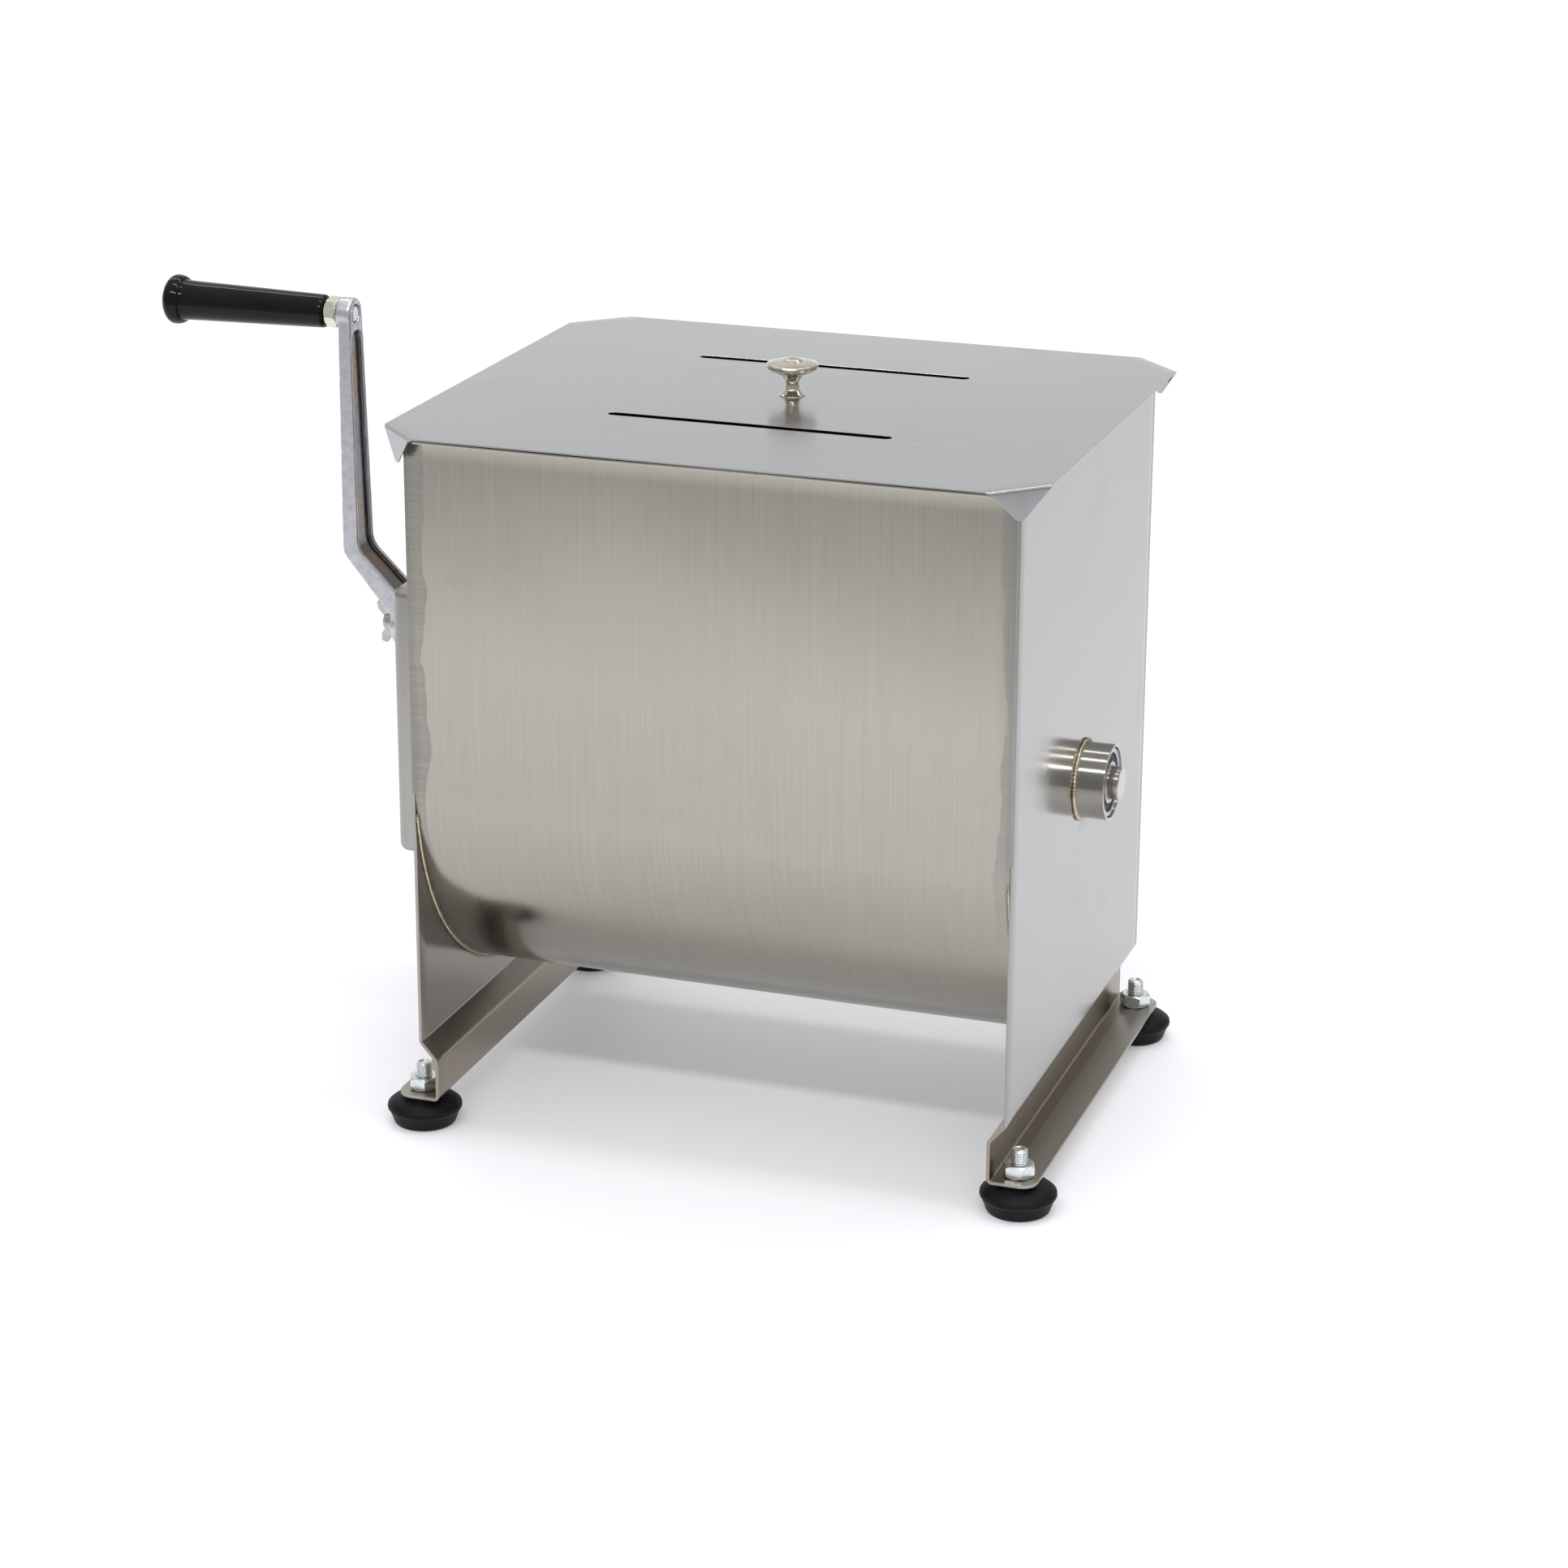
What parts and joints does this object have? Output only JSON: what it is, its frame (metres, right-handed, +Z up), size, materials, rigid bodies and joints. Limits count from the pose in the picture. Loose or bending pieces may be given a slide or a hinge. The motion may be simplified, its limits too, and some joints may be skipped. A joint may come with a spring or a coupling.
{
  "type": "hand crank tub mixer",
  "caption": "Hand-cranked stainless tub mixer: folded end plates with rubber feet, geared paddle shaft, cranked arm with turning grip, lift-off lid with knob.",
  "frame": {"origin": "on the floor, under the middle of the whole machine with its crank up", "axes": "+X along the tub towards the free bearing, -Y towards the front of the tub, +Z up"},
  "size_m": [0.6249, 0.3442, 0.484],
  "materials": {
    "brushed_sheet": "warm grey stainless sheet with an upright brushed grain and ground weld seams",
    "satin_plate": "fine satin stainless sheet, cooler and smoother than the tub",
    "lid_sheet": "stainless sheet with a fine grain along its length, half glossy",
    "turned_steel": "turned stainless bar and tube with fine tool rings",
    "bearing_steel": "ground bearing steel",
    "bearing_shield": "dark moulded seal rubber, slightly rough",
    "bronze": "sintered bronze, matt",
    "gear_steel": "machined steel with a thin film of grease",
    "zinc_plate": "bright zinc plate with a faint blue and straw cast",
    "foot_rubber": "black moulded rubber, matt with a slight bloom",
    "cast_arm": "light grey plated casting, mottled, darker in its channels",
    "nickel": "warm dull nickel plate",
    "grip_plastic": "glossy black moulded plastic"
  },
  "bodies": {
    "frame": {"tub_wrapper": "brushed_sheet", "left_end_plate": "satin_plate", "right_end_plate": "satin_plate", "left_bearing_housing": "turned_steel", "right_bearing_housing": "turned_steel", "left_bearing_outer_ring": "bearing_steel", "right_bearing_outer_ring": "bearing_steel", "left_bearing_shield": "bearing_shield", "right_bearing_shield": "bearing_shield", "left_lip_seal": "bearing_shield", "right_lip_seal": "bearing_shield", "crank_bearing_housing": "turned_steel", "crank_bush": "bronze", "gear_cover": "brushed_sheet", "cover_pillar_1": "zinc_plate", "cover_pillar_2": "zinc_plate", "cover_pillar_3": "zinc_plate", "cover_pillar_4": "zinc_plate", "cover_screw_1": "zinc_plate", "cover_screw_2": "zinc_plate", "cover_screw_3": "zinc_plate", "cover_screw_4": "zinc_plate", "front_left_foot_pad": "foot_rubber", "front_left_foot_stud": "zinc_plate", "front_left_foot_nut": "zinc_plate", "rear_left_foot_pad": "foot_rubber", "rear_left_foot_stud": "zinc_plate", "rear_left_foot_nut": "zinc_plate", "front_right_foot_pad": "foot_rubber", "front_right_foot_stud": "zinc_plate", "front_right_foot_nut": "zinc_plate", "rear_right_foot_pad": "foot_rubber", "rear_right_foot_stud": "zinc_plate", "rear_right_foot_nut": "zinc_plate"},
    "mixing_shaft": {"paddle_shaft": "turned_steel", "paddle_1": "turned_steel", "paddle_2": "turned_steel", "paddle_3": "turned_steel", "paddle_4": "turned_steel", "paddle_5": "turned_steel", "paddle_6": "turned_steel", "left_bearing_inner_ring": "bearing_steel", "right_bearing_inner_ring": "bearing_steel", "driven_gear": "gear_steel", "gear_key": "gear_steel", "gear_retaining_ring": "gear_steel"},
    "crank": {"crank_arm": "cast_arm", "crank_shaft": "turned_steel", "pinion": "gear_steel", "handle_spindle": "zinc_plate", "handle_nut": "zinc_plate"},
    "grip": {"grip": "grip_plastic"},
    "wing_nut": {"wing_nut": "nickel"},
    "lid": {"lid": "lid_sheet", "lid_knob": "nickel", "knob_screw": "zinc_plate"}
  },
  "joints": [
    {"name": "paddle_spin", "type": "hinge", "parent": "frame", "child": "mixing_shaft", "pos_m": [0.101, 0, 0.2205], "axis": [1, 0, 0], "continuous": true},
    {"name": "crank_spin", "type": "hinge", "parent": "frame", "child": "crank", "pos_m": [-0.152, 0, 0.2725], "axis": [1, 0, 0], "continuous": true},
    {"name": "grip_spin", "type": "hinge", "parent": "crank", "child": "grip", "pos_m": [-0.259, 0, 0.4685], "axis": [1, 0, 0], "continuous": true},
    {"name": "wing_nut_turn", "type": "hinge", "parent": "crank", "child": "wing_nut", "pos_m": [-0.169, 0, 0.2725], "axis": [1, 0, 0], "continuous": true},
    {"name": "lid_lift", "type": "slide", "parent": "frame", "child": "lid", "axis": [0, 0, 1], "range_m": [0, 0.2]}
  ],
  "couplings": [
    {"joint": "crank_spin", "follows": "paddle_spin", "ratio": -3}
  ]
}
